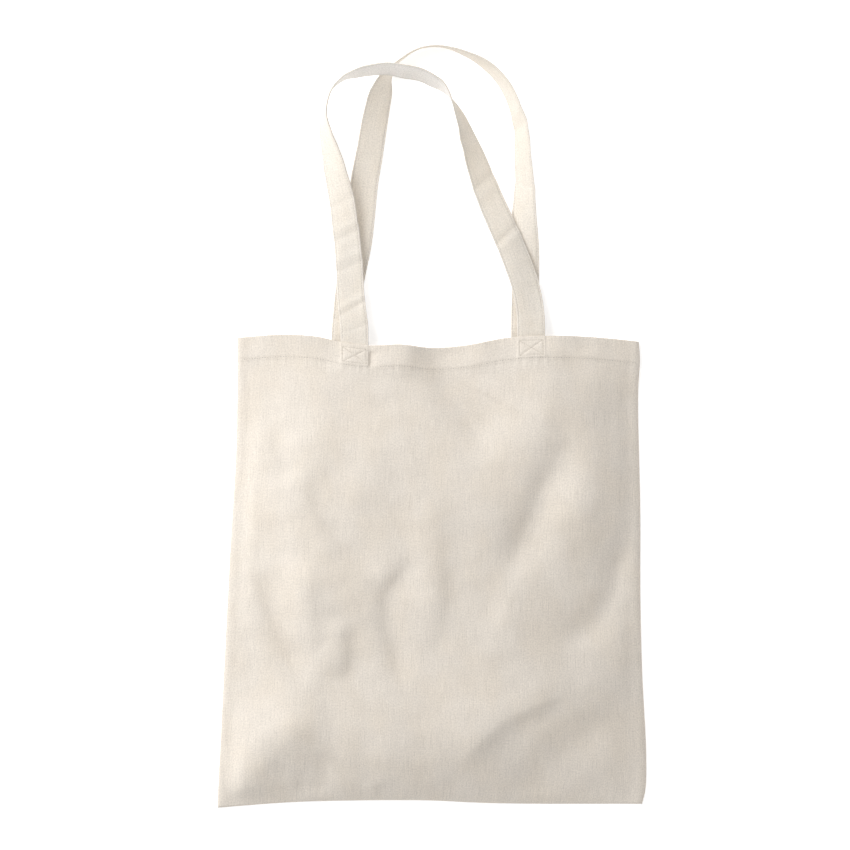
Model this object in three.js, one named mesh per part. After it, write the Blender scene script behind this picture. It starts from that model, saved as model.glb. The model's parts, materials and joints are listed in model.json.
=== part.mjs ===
// Cotton canvas tote bag, empty, lying on its back on a flat surface.
// Millimetres. +Z is up out of the front panel, +Y runs from the bottom seam to the handles.
// +X is to the right.
// The origin is the middle of the bag's whole footprint, on the surface it lies on.
import * as THREE from 'three';

// Cloth and seams
const cloth = 1.0; // one layer of canvas, with its nap
const strapThickness = 1.2; // folded and pressed strap
const air = 0.3; // room between layers that lie on each other
const hemDepth = 20; // turned-in hem round the mouth
const seamWidth = 8; // overlocked allowance inside the side and bottom seams
const seamInset = 1.5; // from the folded edge of the bag to the allowance
const thread = 0.4; // thickness of a row of stitches
const threadWidth = 0.8;
const hemStitchHeight = 1.2; // middle of the hem's row of stitches, above the hem's lower edge
const seamToHem = 2; // side allowances stop this far below the hem
const seamCorner = 1; // room between the side and bottom allowances

// Handles
const strapWidth = 25;
const hingeY = 82.5; // line just past the mouth, where both handles bend
const edgeStitchInset = 1.6; // rows of stitches along the strap's edges
const strapEndRise = 2.6; // lower edge of a sewn strap end, above the hem's lower edge
const crossInset = 2; // cross stitches, in from the strap's edges and down from the mouth
const crossRise = 4; // and up from the hem's lower edge

// How the bag lies
const bellyHeight = 27; // rise of the front panel over the middle of the bag
const mouthHeight = 15; // rise of the front panel at the mouth
const sideFullness = 2.4; // higher is fuller towards the side seams
const bellyReach = 0.42; // share of the bag's height over which the belly rises from the bottom seam
const footFullness = 2.4; // higher is a rounder rise from the bottom seam
const mouthFallStart = 0.62; // share of the height where the belly starts to settle towards the mouth
const hemRiseStart = 0.85; // share of the height where the cloth starts to rise over the hem
const frontEdgeLift = 3.1; // front panel over the seam allowance
const frontHemLift = 4.7; // front panel over the two hems and their stitches

// Outline of the bag seen from above, each edge left to right or bottom to top
const bottomEdge = edge([
  [-192.5, -341.5], [-124.5, -337], [-64.5, -335.5], [-4.5, -335.5], [55.5, -338], [187.5, -338.5]
]);
const topEdge = edge([
  [-175, 80], [-132.5, 82.5], [-102.5, 80.5], [-80.5, 75.5], [-54.5, 72.5], [-28.5, 73.5], [-0.5, 70.5],
  [29.5, 72.5], [67.5, 79.5], [101.5, 81.5], [141.5, 80.5], [186, 76.5]
]);
const leftEdge = edge([
  [-192.5, -341.5], [-190.5, -287], [-186.5, -205], [-181, -99], [-176.5, -25], [-175, 58], [-175, 80]
]);
const rightEdge = edge([
  [187.5, -338.5], [192.5, -296], [189, -216], [187.5, -148], [187.5, -80], [185.5, 32], [187, 60],
  [186, 76.5]
]);

// Rows and columns of the cloth
const columns = 20;
const bodyRows = 20;
const hemRows = 3;
const bagHeight = 418;
const bagWidth = 376;
const hemLine = 1 - hemDepth / bagHeight;
const acrossBag = steps(0, 1, columns);
const upBody = steps(0, hemLine, bodyRows);
const upHem = steps(hemLine, 1, hemRows);

const canvas = { color: 0xe1dacf, roughness: 0.92, metalness: 0 };
const strapping = { color: 0xe6e0d6, roughness: 0.9, metalness: 0 };
const cotton = { color: 0xd8d0c2, roughness: 0.85, metalness: 0 };

// Where the straps leave the hem: middle of each foot
const frontFeet = { left: -68, right: 88.5 };
const backFeet = { left: -76.5, right: 83.5 };

// Free straps from the left foot to the right one: [x, y, lean, lift].
// Lean turns the strap about its run, in degrees: above 0 its inner edge rises, below 0 its outer edge.
// Lift is the height of its lowest edge.
const frontRoute = [
  [-68, 83.4, 0, 14.7], [-68.4, 91, 2, 13.4], [-70.2, 102, 6, 11], [-72.7, 119, 10, 7.2],
  [-75.5, 160, 16, 2.6], [-80.1, 204, 27, 2.2], [-84.1, 225, 35, 2.4], [-88.5, 246, 49, 4],
  [-93.1, 264, 65, 7], [-94.5, 281, 79, 11], [-88.5, 301, 86, 16], [-80.5, 309, 91, 18.6],
  [-71.5, 312.5, 103, 21], [-59, 316, 111, 23.6],
  [-45.5, 317, 114, 25.4], [-34.5, 316.5, 116, 26], [-28, 315.5, 117, 25.4], [-10.5, 312.5, 116, 22],
  [3.5, 306.5, 112, 17.6], [10, 302, 106, 15.2], [16.1, 296, 91, 12.6], [22.5, 284.5, 76, 9],
  [28.5, 271, 65, 6], [33, 258, 57, 4], [38, 245.5, 47, 3], [51, 211, 29, 3.2], [61, 188, 18, 5.2],
  [73, 160, 9, 6], [84.5, 126, 6, 7.2], [88, 104, 4, 10.4], [88.5, 91, 2, 13], [88.5, 83.4, 0, 14.1]
];
const backRoute = [
  [-76.5, 83.4, 0, 2.6], [-76.3, 90, 0, 1.6], [-75.5, 102, 0, 0.6], [-73.5, 131, 0, 0.4],
  [-66.3, 168, 0, 0.4],
  [-60.5, 222, -3, 0.4], [-55.5, 249, -16, 0.4], [-50.9, 277, -25, 0.4], [-45.9, 300, -40, 0.4],
  [-41.9, 312.5, -58, 0.4], [-31.9, 324, -76, 0.4], [-21.1, 332, -79, 0.4], [-10.5, 337.4, -82, 0.4],
  [1.9, 339.2, -83, 0.4], [15.3, 338, -83, 0.4], [31.5, 333.4, -79, 0.4], [45.9, 325.6, -73, 0.4],
  [57.3, 315.8, -69, 0.4], [66.3, 304, -68, 0.4], [73.7, 290, -65, 0.4], [78.2, 276, -63, 0.4],
  [80.7, 258, -61, 0.4], [81.5, 241, -58, 0.4], [82.5, 227, -52, 0.4], [82.7, 201, -38, 0.4],
  [82.7, 186, -27, 0.4], [83.7, 160, -9, 0.4], [83.9, 125, 0, 0.4], [83.6, 102, 0, 0.6], [83.5, 90, 0, 1.6],
  [83.5, 83.4, 0, 2.6]
];
const strapSteps = 84;

function edge(points) {
  return new THREE.SplineCurve(points.map(([x, y]) => new THREE.Vector2(x, y)));
}

function steps(from, to, count) {
  return Array.from({ length: count + 1 }, (_, i) => from + (to - from) * i / count);
}

function clamp(value, low, high) {
  return Math.min(high, Math.max(low, value));
}

// A place on the bag's plan: across runs 0 to 1 from left to right, up runs 0 to 1 from bottom to mouth.
function plan(across, up) {
  const bottom = bottomEdge.getPointAt(across);
  const top = topEdge.getPointAt(across);
  const left = leftEdge.getPointAt(up);
  const right = rightEdge.getPointAt(up);
  const corners = new THREE.Vector2()
    .addScaledVector(bottomEdge.getPoint(0), (1 - across) * (1 - up))
    .addScaledVector(bottomEdge.getPoint(1), across * (1 - up))
    .addScaledVector(topEdge.getPoint(0), (1 - across) * up)
    .addScaledVector(topEdge.getPoint(1), across * up);
  return new THREE.Vector2()
    .addScaledVector(bottom, 1 - up)
    .addScaledVector(top, up)
    .addScaledVector(left, 1 - across)
    .addScaledVector(right, across)
    .sub(corners);
}

// The opposite way: which part of the plan lies at x, y.
function planAt(x, y) {
  let across = 0.5;
  let up = 0.5;
  for (let i = 0; i < 12; i += 1) {
    const here = plan(across, up);
    across = clamp(across + (x - here.x) / bagWidth, 0, 1);
    up = clamp(up + (y - here.y) / bagHeight, 0, 1);
  }
  return { across, up };
}

// Height of the front panel's inner face.
function frontHeight(across, up) {
  const side = 1 - Math.abs(2 * across - 1) ** sideFullness;
  const foot = 1 - (1 - Math.min(up / bellyReach, 1)) ** footFullness;
  const toMouth = THREE.MathUtils.smoothstep(up, mouthFallStart, 1);
  const toHem = THREE.MathUtils.smoothstep(up, hemRiseStart, hemLine);
  const rise = THREE.MathUtils.lerp(bellyHeight, mouthHeight, toMouth);
  const rest = THREE.MathUtils.lerp(frontEdgeLift, frontHemLift, toHem);
  return rest + rise * side * foot;
}

// Closed solid between a lower and an upper skin over a grid of two lists.
function slab(uList, vList, lowerAt, upperAt) {
  const wide = uList.length;
  const tall = vList.length;
  const skins = [lowerAt, upperAt];
  const points = skins.flatMap((at) => vList.flatMap((v) => uList.map((u) => at(u, v))));
  const faces = [];
  const quad = (a, b, c, d) => faces.push(a, b, c, a, c, d);
  const lower = (i, j) => j * wide + i;
  const upper = (i, j) => wide * tall + j * wide + i;
  for (let j = 0; j < tall - 1; j += 1) {
    for (let i = 0; i < wide - 1; i += 1) {
      quad(upper(i, j), upper(i + 1, j), upper(i + 1, j + 1), upper(i, j + 1));
      quad(lower(i, j), lower(i, j + 1), lower(i + 1, j + 1), lower(i + 1, j));
    }
    quad(lower(0, j), upper(0, j), upper(0, j + 1), lower(0, j + 1));
    quad(lower(wide - 1, j), lower(wide - 1, j + 1), upper(wide - 1, j + 1), upper(wide - 1, j));
  }
  for (let i = 0; i < wide - 1; i += 1) {
    quad(lower(i, 0), lower(i + 1, 0), upper(i + 1, 0), upper(i, 0));
    quad(lower(i, tall - 1), upper(i, tall - 1), upper(i + 1, tall - 1), lower(i + 1, tall - 1));
  }
  return solid(points, faces);
}

// Closed solid swept through a list of four-cornered sections.
function bar(sections) {
  const points = sections.flat();
  const faces = [];
  const last = 4 * (sections.length - 1);
  for (let s = 0; s < sections.length - 1; s += 1) {
    for (let k = 0; k < 4; k += 1) {
      const a = 4 * s + k;
      const b = 4 * s + (k + 1) % 4;
      faces.push(a, b, b + 4, a, b + 4, a + 4);
    }
  }
  faces.push(0, 2, 1, 0, 3, 2);
  faces.push(last, last + 1, last + 2, last, last + 2, last + 3);
  return solid(points, faces);
}

function solid(points, faces) {
  const geometry = new THREE.BufferGeometry().setFromPoints(points);
  geometry.setIndex(faces);
  geometry.computeVertexNormals();
  return geometry;
}

function piece(name, geometry, finish) {
  const mesh = new THREE.Mesh(geometry, new THREE.MeshStandardMaterial(finish));
  mesh.name = name;
  return mesh;
}

// Layer of cloth that follows the front panel, from depth below its inner face.
function frontLayer(uList, vList, depth, thickness) {
  const at = (offset) => (u, v) => {
    const { x, y } = plan(u, v);
    return new THREE.Vector3(x, y, frontHeight(u, v) + offset);
  };
  return slab(uList, vList, at(-depth), at(thickness - depth));
}

// Flat layer of cloth on the back of the bag.
function backLayer(uList, vList, height, thickness) {
  const at = (z) => (u, v) => {
    const { x, y } = plan(u, v);
    return new THREE.Vector3(x, y, z);
  };
  return slab(uList, vList, at(height), at(height + thickness));
}

function frontPanel() {
  return piece('front_panel', frontLayer(acrossBag, [...upBody, ...upHem.slice(1)], 0, cloth), canvas);
}

function backPanel() {
  return piece('back_panel', backLayer(acrossBag, [...upBody, ...upHem.slice(1)], 0, cloth), canvas);
}

function frontHem() {
  return piece('front_hem', frontLayer(acrossBag, upHem, cloth + air, cloth), canvas);
}

function backHem() {
  return piece('back_hem', backLayer(acrossBag, upHem, cloth + air, cloth), canvas);
}

// Overlocked allowance of a side seam, lying on the back panel up to the hem.
function sideSeam(name, isRight) {
  const near = seamInset / bagWidth;
  const far = (seamInset + seamWidth) / bagWidth;
  const uList = isRight ? steps(1 - far, 1 - near, 2) : steps(near, far, 2);
  const top = hemLine - seamToHem / bagHeight;
  const vList = steps((seamInset + seamWidth + seamCorner) / bagHeight, top, bodyRows);
  return piece(name, backLayer(uList, vList, cloth + air, cloth), canvas);
}

function bottomSeam() {
  const uList = steps(seamInset / bagWidth, 1 - seamInset / bagWidth, columns);
  const vList = steps(seamInset / bagHeight, (seamInset + seamWidth) / bagHeight, 2);
  return piece('bottom_seam', backLayer(uList, vList, cloth + air, cloth), canvas);
}

// Row of stitches near the lower edge of a hem.
function hemStitchRows() {
  const middle = hemLine + hemStitchHeight / bagHeight;
  const half = threadWidth / 2 / bagHeight;
  return steps(middle - half, middle + half, 1);
}

function frontHemStitch() {
  return piece('front_hem_stitch', frontLayer(acrossBag, hemStitchRows(), -cloth - air, thread), cotton);
}

function backHemStitch() {
  return piece('back_hem_stitch', backLayer(acrossBag, hemStitchRows(), 2 * (cloth + air), thread), cotton);
}

// End of a strap, sewn inside the hem and standing a little past the mouth.
function strapEnd(name, middle, heightAt) {
  const xList = steps(middle - strapWidth / 2, middle + strapWidth / 2, 4);
  const at = (offset) => (x, share) => {
    const start = topEdgeAt(x) - hemDepth + strapEndRise;
    const y = THREE.MathUtils.lerp(start, hingeY, share);
    return new THREE.Vector3(x, y, heightAt(x, y) + offset);
  };
  return piece(name, slab(xList, steps(0, 1, 4), at(0), at(strapThickness)), strapping);
}

function topEdgeAt(x) {
  return plan(planAt(x, hingeY).across, 1).y;
}

function frontStrapHeight(x, y) {
  const { across, up } = planAt(x, y);
  const hemAndGaps = cloth + 2.5 * air;
  return frontHeight(across, up) - hemAndGaps - air - strapThickness;
}

function backStrapHeight() {
  return 2 * (cloth + air);
}

// Square of stitches with a cross in it, over a strap end.
function crossStitch(name, middle, heightAt) {
  const halfWide = strapWidth / 2 - crossInset;
  const mouth = topEdgeAt(middle);
  const low = mouth - hemDepth + crossRise;
  const high = mouth - crossInset;
  const halfTall = (high - low) / 2;
  const diagonal = Math.hypot(halfWide, halfTall);
  const outline = new THREE.Shape(corners(halfWide, halfTall));
  const insetWide = halfWide - threadWidth;
  const insetTall = halfTall - threadWidth;
  const alongWide = threadWidth / 2 * diagonal / halfTall;
  const alongTall = threadWidth / 2 * diagonal / halfWide;
  for (const sign of [-1, 1]) {
    outline.holes.push(new THREE.Path([
      new THREE.Vector2(sign * insetWide, insetTall - alongTall),
      new THREE.Vector2(sign * insetWide, alongTall - insetTall),
      new THREE.Vector2(sign * alongWide, 0)
    ]));
    outline.holes.push(new THREE.Path([
      new THREE.Vector2(insetWide - alongWide, sign * insetTall),
      new THREE.Vector2(alongWide - insetWide, sign * insetTall),
      new THREE.Vector2(0, sign * alongTall)
    ]));
  }
  const geometry = new THREE.ExtrudeGeometry(outline, { depth: thread, bevelEnabled: false });
  const place = geometry.getAttribute('position');
  for (let i = 0; i < place.count; i += 1) {
    const x = place.getX(i) + middle;
    const y = place.getY(i) + (low + high) / 2;
    place.setXYZ(i, x, y, place.getZ(i) + heightAt(x, y));
  }
  return piece(name, geometry, cotton);
}

function corners(halfWide, halfTall) {
  return [[-1, -1], [1, -1], [1, 1], [-1, 1]].map(([x, y]) => new THREE.Vector2(x * halfWide, y * halfTall));
}

// Height of the outer face of the front panel, with room for stitches on its bulge.
function frontFaceHeight(x, y) {
  const { across, up } = planAt(x, y);
  return frontHeight(across, up) + cloth + 1.5 * air;
}

function backStrapFaceHeight() {
  return backStrapHeight() + strapThickness + air;
}

// Middle line, edge direction and face direction of a free strap at even steps.
function strapFrames(route) {
  const middle = new THREE.CatmullRomCurve3(route.map(([x, y, lean, lift]) => {
    const turn = THREE.MathUtils.degToRad(lean);
    const half = strapWidth / 2 * Math.abs(Math.sin(turn)) + strapThickness / 2 * Math.abs(Math.cos(turn));
    return new THREE.Vector3(x, y, lift + half);
  }), false, 'centripetal');
  const turns = new THREE.SplineCurve(route.map(([, , lean]) => new THREE.Vector2(lean, 0)));
  return steps(0, 1, strapSteps).map((t) => {
    const along = middle.getTangent(t);
    const outward = new THREE.Vector3(0, 0, 1).cross(along).normalize();
    const up = along.clone().cross(outward);
    const turn = THREE.MathUtils.degToRad(turns.getPoint(t).x);
    const toEdge = outward.clone().multiplyScalar(-Math.cos(turn)).addScaledVector(up, Math.sin(turn));
    const face = up.clone().multiplyScalar(Math.cos(turn)).addScaledVector(outward, Math.sin(turn));
    return { point: middle.getPoint(t), toEdge, face };
  });
}

// Flat bar along the frames, between two places across the strap and two heights over its middle.
function strapBar(frames, across, height) {
  return bar(frames.map(({ point, toEdge, face }) => {
    const corner = (a, h) => point.clone().addScaledVector(toEdge, a).addScaledVector(face, h);
    return [
      corner(across[0], height[0]), corner(across[0], height[1]),
      corner(across[1], height[1]), corner(across[1], height[0])
    ];
  }));
}

function freeStrap(name, route) {
  const half = strapWidth / 2;
  const thick = strapThickness / 2;
  return piece(name, strapBar(strapFrames(route), [-half, half], [-thick, thick]), strapping);
}

// Row of stitches along one edge of a free strap, on the face that shows the neater side.
function edgeStitch(name, route, side) {
  const middle = side * (strapWidth / 2 - edgeStitchInset);
  const face = strapThickness / 2 + air;
  const frames = strapFrames(route).slice(1, -1);
  const across = [middle - threadWidth / 2, middle + threadWidth / 2];
  return piece(name, strapBar(frames, across, [face, face + thread]), cotton);
}

function bag() {
  const whole = new THREE.Group();
  const back = new THREE.Group();
  back.add(backPanel(), backHem(), bottomSeam(), backHemStitch());
  back.add(sideSeam('side_seam_left', false), sideSeam('side_seam_right', true));
  const front = new THREE.Group();
  front.add(frontPanel(), frontHem(), frontHemStitch());
  for (const side of ['left', 'right']) {
    back.add(strapEnd(`back_handle_end_${side}`, backFeet[side], backStrapHeight));
    back.add(crossStitch(`back_cross_stitch_${side}`, backFeet[side], backStrapFaceHeight));
    front.add(strapEnd(`front_handle_end_${side}`, frontFeet[side], frontStrapHeight));
    front.add(crossStitch(`front_cross_stitch_${side}`, frontFeet[side], frontFaceHeight));
  }
  whole.add(back, front);
  for (const [name, route] of [['front_handle', frontRoute], ['back_handle', backRoute]]) {
    const handle = new THREE.Group();
    handle.add(freeStrap(name, route));
    handle.add(edgeStitch(`${name}_inner_stitch`, route, 1), edgeStitch(`${name}_outer_stitch`, route, -1));
    whole.add(handle);
  }
  return whole;
}

export default bag();
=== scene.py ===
import bpy
import json
import math
import numpy as np
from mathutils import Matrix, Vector


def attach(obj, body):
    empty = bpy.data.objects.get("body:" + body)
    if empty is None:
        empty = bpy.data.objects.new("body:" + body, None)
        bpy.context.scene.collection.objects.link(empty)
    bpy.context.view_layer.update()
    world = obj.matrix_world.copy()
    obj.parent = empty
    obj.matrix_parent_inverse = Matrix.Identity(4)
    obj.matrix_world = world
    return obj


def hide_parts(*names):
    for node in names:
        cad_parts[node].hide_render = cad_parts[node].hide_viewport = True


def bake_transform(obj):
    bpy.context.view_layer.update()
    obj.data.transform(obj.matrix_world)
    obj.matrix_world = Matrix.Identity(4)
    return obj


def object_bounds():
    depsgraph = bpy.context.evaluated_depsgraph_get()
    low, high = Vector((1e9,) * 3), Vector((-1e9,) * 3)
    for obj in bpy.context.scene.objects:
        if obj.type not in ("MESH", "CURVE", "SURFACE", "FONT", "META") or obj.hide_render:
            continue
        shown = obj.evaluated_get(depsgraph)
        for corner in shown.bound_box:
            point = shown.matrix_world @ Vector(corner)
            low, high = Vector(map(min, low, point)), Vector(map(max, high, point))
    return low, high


# Canvas tote bag lying on its back with its mouth away from us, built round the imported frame.

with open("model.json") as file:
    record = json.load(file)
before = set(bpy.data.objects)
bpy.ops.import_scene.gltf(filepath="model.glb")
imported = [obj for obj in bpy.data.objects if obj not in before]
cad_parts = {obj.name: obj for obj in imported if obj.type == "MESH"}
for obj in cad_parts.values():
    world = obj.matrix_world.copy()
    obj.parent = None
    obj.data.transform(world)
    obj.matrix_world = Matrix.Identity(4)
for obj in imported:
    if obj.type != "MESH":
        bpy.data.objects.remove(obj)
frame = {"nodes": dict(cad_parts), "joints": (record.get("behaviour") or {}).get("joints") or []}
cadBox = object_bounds()
mm = 0.001  # the lists and dictionaries below are in millimetres
hingeOf = {joint["name"]: joint["pos_m"] for joint in frame["joints"]}
print("frame loaded, nodes:", len(frame["nodes"]))

bagCut = {
    "width": 380,  # flat panel, seam to seam
    "height": 420,  # flat panel, bottom seam to mouth
    "hemDepth": 20,
    "cloth": 0.7,  # thickness of one layer
    "bottomEdge": [
        (-193.0, -342.0), (-124.5, -337), (-64.5, -335.5), (-4.5, -335.5), (55.5, -338), (189.0, -338.5),
    ],
    "topEdge": [
        (-175, 80), (-132.5, 82.5), (-102.5, 80.5), (-80.5, 75.5), (-54.5, 72.5), (-28.5, 73.5),
        (-0.5, 70.5), (29.5, 72.5), (67.5, 79.5), (101.5, 81.5), (141.5, 80.5), (186, 76.5),
    ],
    "leftEdge": [
        (-193.0, -342.0), (-192.6, -326), (-190.5, -287), (-186.5, -205),
        (-181, -99), (-176.5, -25), (-175, 58), (-175, 80),
    ],
    "rightEdge": [
        (189.0, -338.5), (192.0, -326), (192.8, -296), (189, -216), (187.5, -148),
        (187.5, -80), (185.5, 32), (187, 60), (186, 76.5),
    ],
}

bagFill = {
    "belly": 27,  # rise of the front panel over the middle
    "mouth": 15,  # rise of the front panel at the mouth
    "fullness": 2.4,  # higher is fuller towards the side seams
    "reach": 0.20,  # share of the height over which the belly rises from the bottom seam
    "seamEdge": 0.9,  # height of the front panel at its seams
    "overSeam": 1.9,  # more height over the seam allowance
    "seamRound": 2.2,  # how far in the edge is rounded
    "overHem": 1.4,  # more height over the two hems
    "seamRidge": 0.5,  # allowance showing through along the sides
    "hemStep": 0.55,  # hem standing proud of the panel
    "stitchGroove": 0.35,
    "footStep": 0.5,  # strap end showing through the hem
}

strapMake = {
    "width": 25,
    "thickness": 1.4,
    "feetFront": (-69.3, 88.5),
    "feetBack": (-78, 83.5),
    "footDepth": 17.5,  # how far a strap end reaches below the mouth
    "footY": 78.5,  # where a strap leaves the panel
}

# Each fold: height, spread to the left of its run, spread to the right, softness of its crest, points of its
# crest. A height below zero is a valley.
folds = [
    (9.0, 48, 40, 12, [(-118, 74), (-118, 10), (-116, -60), (-108, -140), (-116, -232)]),
    (9.0, 25, 40, 6, [(136, 90), (135, 20), (141, -28), (134, -84), (124, -134)]),
    (-8.0, 17, 14, 4, [(136, -10), (116, -28), (100, -60), (87, -92), (76, -118), (62, -142)]),
    (3.0, 26, 11, 5, [(98, -96), (84, -130), (66, -172), (48, -226)]),
    (-4.2, 11, 13, 3, [(190, -84), (171, -118), (160, -149), (149, -170), (129, -184), (104, -197)]),
    (7.4, 10, 44, 4, [(132, -228), (94, -242), (60, -259), (33, -284), (6, -310)]),
    (1.4, 7, 7, 3, [(134, -249), (102, -268), (78, -284)]),
    (-3.4, 16, 15, 4, [(158, -242), (138, -276), (104, -305), (60, -334)]),
    (10.5, 28, 22, 5, [(-192, -340), (-163, -306), (-142, -280), (-116, -264), (-90, -258)]),
    (-2.6, 8, 11, 3, [(-95, -286), (-98, -312), (-101, -341)]),
    (-1.4, 6, 5, 2, [(-115, -300), (-116, -320), (-116, -340)]),
    (1.3, 5, 5, 2, [(-55, -314), (-53, -338)]),
    (-1.2, 5, 4, 2, [(-45, -316), (-43, -338)]),
    (-3.8, 13, 7, 2.5, [(-9, -108), (-21, -127), (-38, -149), (-38, -174), (-31, -200), (-22, -238)]),
    (3.6, 12, 13, 4, [(-6, -42), (-2, -98), (1, -140), (3, -196)]),
    (-0.9, 9, 6, 2.5, [(11, -90), (17, -140), (12, -182), (-2, -214)]),
    (2.6, 16, 15, 6, [(-46, 4), (-56, -40), (-70, -80)]),
    (-4.3, 13, 7, 3.5, [(-107, -28), (-98, -70), (-82, -96), (-60, -119), (-46, -134)]),
    (-2.6, 11, 9, 4, [(-140, 8), (-132, -24), (-125, -56)]),
    (-6.4, 18, 8, 3, [(-156, -122), (-144, -156), (-131, -188), (-117, -214), (-101, -226)]),
    (4.0, 9, 17, 4, [(-112, -108), (-112, -160), (-110, -192), (-118, -212)]),
    (2.4, 7, 11, 4, [(-84, -166), (-83, -196), (-90, -226)]),
    (-1.5, 11, 7, 2.5, [(-74, -168), (-68, -196), (-74, -236)]),
    (-8.0, 24, 15, 5, [(-8, 100), (8, 56), (27, 24), (46, -3), (64, -28)]),
    (6.0, 18, 36, 6, [(98, 96), (100, 40), (94, 6), (74, -16)]),
    (2.0, 24, 14, 6, [(-66, -294), (-14, -304), (24, -307)]),
    (3.2, 9, 22, 3, [(-22, 98), (-23, 66), (-28, 40)]),
    (-1.8, 8, 8, 3, [(-90, 92), (-88, 70), (-82, 52)]),
    (1.4, 10, 12, 4, [(44, 92), (40, 66), (38, 44)]),
    (-1.2, 7, 7, 3, [(138, 92), (140, 64)]),
    (4.0, 22, 30, 8, [(188, -172), (166, -208), (142, -238), (108, -264)]),
    (1.2, 6, 7, 2.5, [(-164, -10), (-162, -80), (-165, -150)]),
    (-1.8, 12, 12, 5, [(-178, 6), (-142, 7), (-104, -2)]),
    (-1.2, 14, 10, 4, [(150, -226), (168, -262), (176, -310)]),
    (-2.0, 2.5, 1.6, 0.8, [(-53.6, 70), (-54, 62), (-54.6, 52)]),
]


def ease(value, low, high):
    # 0 below low, 1 above high, smooth between
    t = np.clip((value - low) / (high - low), 0, 1)
    return t * t * (3 - 2 * t)


def smoothLine(points, count):
    # smooth line through the points in even steps; columns past x and y ride along
    p = np.array(points, float)
    gaps = np.linalg.norm(np.diff(p[:, :2], axis=0), axis=1)
    knot = np.concatenate([[0], np.cumsum(np.sqrt(gaps))])
    slope = np.gradient(p, knot, axis=0)
    fine = np.linspace(0, knot[-1], 24 * len(p))
    k = np.clip(np.searchsorted(knot, fine, side="right") - 1, 0, len(p) - 2)
    h = (knot[k + 1] - knot[k])[:, None]
    t = (fine - knot[k])[:, None] / h
    line = p[k] * (2 * t**3 - 3 * t**2 + 1) + p[k + 1] * (3 * t**2 - 2 * t**3)
    line += slope[k] * h * (t**3 - 2 * t**2 + t) + slope[k + 1] * h * (t**3 - t**2)
    steps = np.linalg.norm(np.diff(line[:, :2], axis=0), axis=1)
    length = np.concatenate([[0], np.cumsum(steps)])
    even = np.linspace(0, length[-1], count + 1)
    return np.column_stack([np.interp(even, length, column) for column in line.T])


edgeSteps = 400
sides = ("bottom", "top", "left", "right")
edgeLines = {side: smoothLine(bagCut[side + "Edge"], edgeSteps) for side in sides}
hemLine = 1 - bagCut["hemDepth"] / bagCut["height"]


def edgeAt(side, share):
    line = edgeLines[side]
    even = np.linspace(0, 1, len(line))
    return np.stack([np.interp(share, even, line[:, 0]), np.interp(share, even, line[:, 1])], -1)


def plan(across, up):
    # place on the bag's outline: across 0 to 1 from left to right, up 0 to 1 from bottom to mouth
    across, up = np.broadcast_arrays(np.asarray(across, float), np.asarray(up, float))
    a, u = across[..., None], up[..., None]
    bottom, top = edgeLines["bottom"], edgeLines["top"]
    corners = (1 - u) * ((1 - a) * bottom[0] + a * bottom[-1]) + u * ((1 - a) * top[0] + a * top[-1])
    sides = (1 - a) * edgeAt("left", up) + a * edgeAt("right", up)
    return (1 - u) * edgeAt("bottom", across) + u * edgeAt("top", across) + sides - corners


def planAt(x, y):
    # the opposite way, for points on the bag
    across = np.full(np.shape(x), 0.5)
    up = np.full(np.shape(x), 0.5)
    for _ in range(14):
        here = plan(across, up)
        across = np.clip(across + (x - here[..., 0]) / bagCut["width"], 0, 1)
        up = np.clip(up + (y - here[..., 1]) / bagCut["height"], 0, 1)
    return across, up


def foldHeight(x, y):
    total = np.zeros(np.shape(x))
    flat = np.stack([np.ravel(x), np.ravel(y)], -1)
    for height, spreadLeft, spreadRight, soft, crest in folds:
        line = smoothLine(crest, 28)
        start, run = line[:-1], np.diff(line, axis=0)
        size = (run**2).sum(1)
        near = np.full(len(flat), 1e9)
        side = np.zeros(len(flat))
        place = np.zeros(len(flat))
        for k in range(len(run)):
            away = flat - start[k]
            t = np.clip(away @ run[k] / size[k], 0, 1)
            gap = away - t[:, None] * run[k]
            distance = np.hypot(gap[:, 0], gap[:, 1])
            closer = distance < near
            near[closer] = distance[closer]
            turn = run[k][0] * away[:, 1] - run[k][1] * away[:, 0]
            side[closer] = np.sign(turn[closer])
            place[closer] = (k + t[closer]) / len(run)
        spread = np.where(side > 0, spreadLeft, spreadRight)
        body = np.exp(-((np.sqrt(near**2 + soft**2) - soft) / spread) ** 1.5)
        fade = ease(place, 0, 0.3) * ease(1 - place, 0, 0.3)
        total += height * (body * fade).reshape(np.shape(x))
    return total


def softWaves(x, y, seed, shortest, longest, count=26):
    # gentle unevenness from seeded waves of many directions, about 1 high
    draw = np.random.default_rng(seed)
    total = np.zeros(np.broadcast(x, y).shape)
    for _ in range(count):
        wave = shortest * (longest / shortest) ** draw.random()
        angle = draw.random() * math.tau
        phase = draw.random() * math.tau
        walk = x * math.cos(angle) + y * math.sin(angle)
        total += np.sin(walk * math.tau / wave + phase) * (wave / longest) ** 0.7
    return total / math.sqrt(count / 2)


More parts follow.
